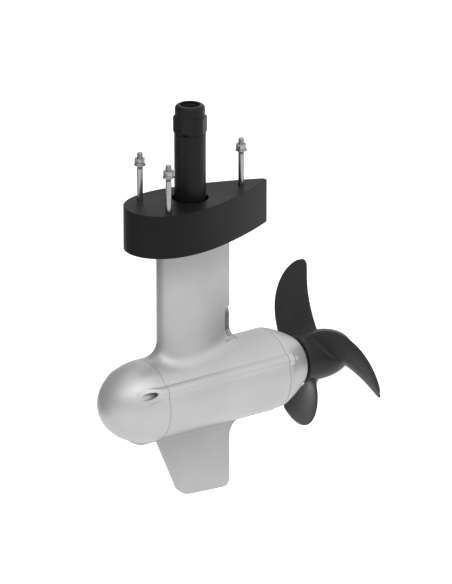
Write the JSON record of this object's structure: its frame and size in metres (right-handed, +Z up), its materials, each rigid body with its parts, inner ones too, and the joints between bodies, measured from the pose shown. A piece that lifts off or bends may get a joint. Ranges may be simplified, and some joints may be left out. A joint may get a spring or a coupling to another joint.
{
  "type": "electric pod drive",
  "caption": "Electric pod drive for a small boat: aerofoil hull spacer with studs and a cable gland, streamlined strut, motor pod with skeg, and a propeller with swept blades.",
  "frame": {"origin": "on the cable tube's axis, in the plane of the spacer block's upper face, which seats on the hull", "axes": "+Z up along the cable tube, +X aft along the propeller shaft, +Y to starboard"},
  "size_m": [0.4135, 0.219, 0.5612],
  "materials": {
    "spacer_plastic": "satin black moulded plastic",
    "tube_plastic": "satin black plastic pipe",
    "gland_plastic": "satin black moulded nylon",
    "cast_aluminium": "bead blasted and clear coated casting",
    "stainless": "polished stainless steel",
    "zinc": "dull cast zinc",
    "propeller_composite": "charcoal fibre filled nylon",
    "shaft_steel": "ground stainless shaft",
    "bearing_steel": "ground bearing steel",
    "cage_brass": "pressed brass",
    "rubber": "black nitrile",
    "lamination": "stacked electrical steel",
    "copper": "varnished copper wire",
    "magnet": "nickel plated magnet",
    "board_green": "coated circuit board",
    "can_aluminium": "sleeved capacitor can",
    "package_plastic": "black moulded package"
  },
  "bodies": {
    "drive": {"spacer_block": "spacer_plastic", "motor_housing": "cast_aluminium", "nose_cap": "cast_aluminium", "tail_cap": "cast_aluminium", "nose_cap_screws": "stainless", "tail_cap_screws": "stainless", "nose_o_ring": "rubber", "tail_o_ring": "rubber", "hull_studs": "stainless", "stud_washers": "stainless", "stud_spring_washers": "stainless", "stud_nuts": "stainless", "cable_tube": "tube_plastic", "tube_o_ring": "rubber", "gland_body": "gland_plastic", "gland_dome_nut": "gland_plastic", "gland_seal": "rubber", "strut_anode": "zinc", "anode_screw": "stainless", "stator_core": "lamination", "stator_windings": "copper", "stator_snap_ring": "stainless", "front_bearing_outer_race": "bearing_steel", "rear_bearing_outer_race": "bearing_steel", "shaft_seals": "rubber", "controller_board": "board_green", "board_posts": "stainless", "board_screws": "stainless", "board_capacitors": "can_aluminium", "power_transistors": "package_plastic"},
    "rotor": {"propeller_shaft": "shaft_steel", "rotor_core": "lamination", "rotor_magnets": "magnet", "rotor_snap_ring": "stainless", "front_bearing_inner_race": "bearing_steel", "rear_bearing_inner_race": "bearing_steel", "thrust_washer": "stainless", "drive_pin": "stainless", "propeller": "propeller_composite", "propeller_washer": "stainless", "propeller_nut": "stainless", "split_pin": "stainless"},
    "front_ball_set": {"front_bearing_balls": "bearing_steel", "front_bearing_cage": "cage_brass"},
    "rear_ball_set": {"rear_bearing_balls": "bearing_steel", "rear_bearing_cage": "cage_brass"}
  },
  "joints": [
    {"name": "propeller_spin", "type": "hinge", "parent": "drive", "child": "rotor", "pos_m": [0.2, 0, -0.2743], "axis": [1, 0, 0], "continuous": true},
    {"name": "front_balls_roll", "type": "hinge", "parent": "drive", "child": "front_ball_set", "pos_m": [-0.006, 0, -0.2743], "axis": [1, 0, 0], "continuous": true},
    {"name": "rear_balls_roll", "type": "hinge", "parent": "drive", "child": "rear_ball_set", "pos_m": [0.1345, 0, -0.2743], "axis": [1, 0, 0], "continuous": true}
  ],
  "couplings": [
    {"joint": "front_balls_roll", "follows": "propeller_spin", "ratio": 0.39758},
    {"joint": "rear_balls_roll", "follows": "propeller_spin", "ratio": 0.39688}
  ]
}
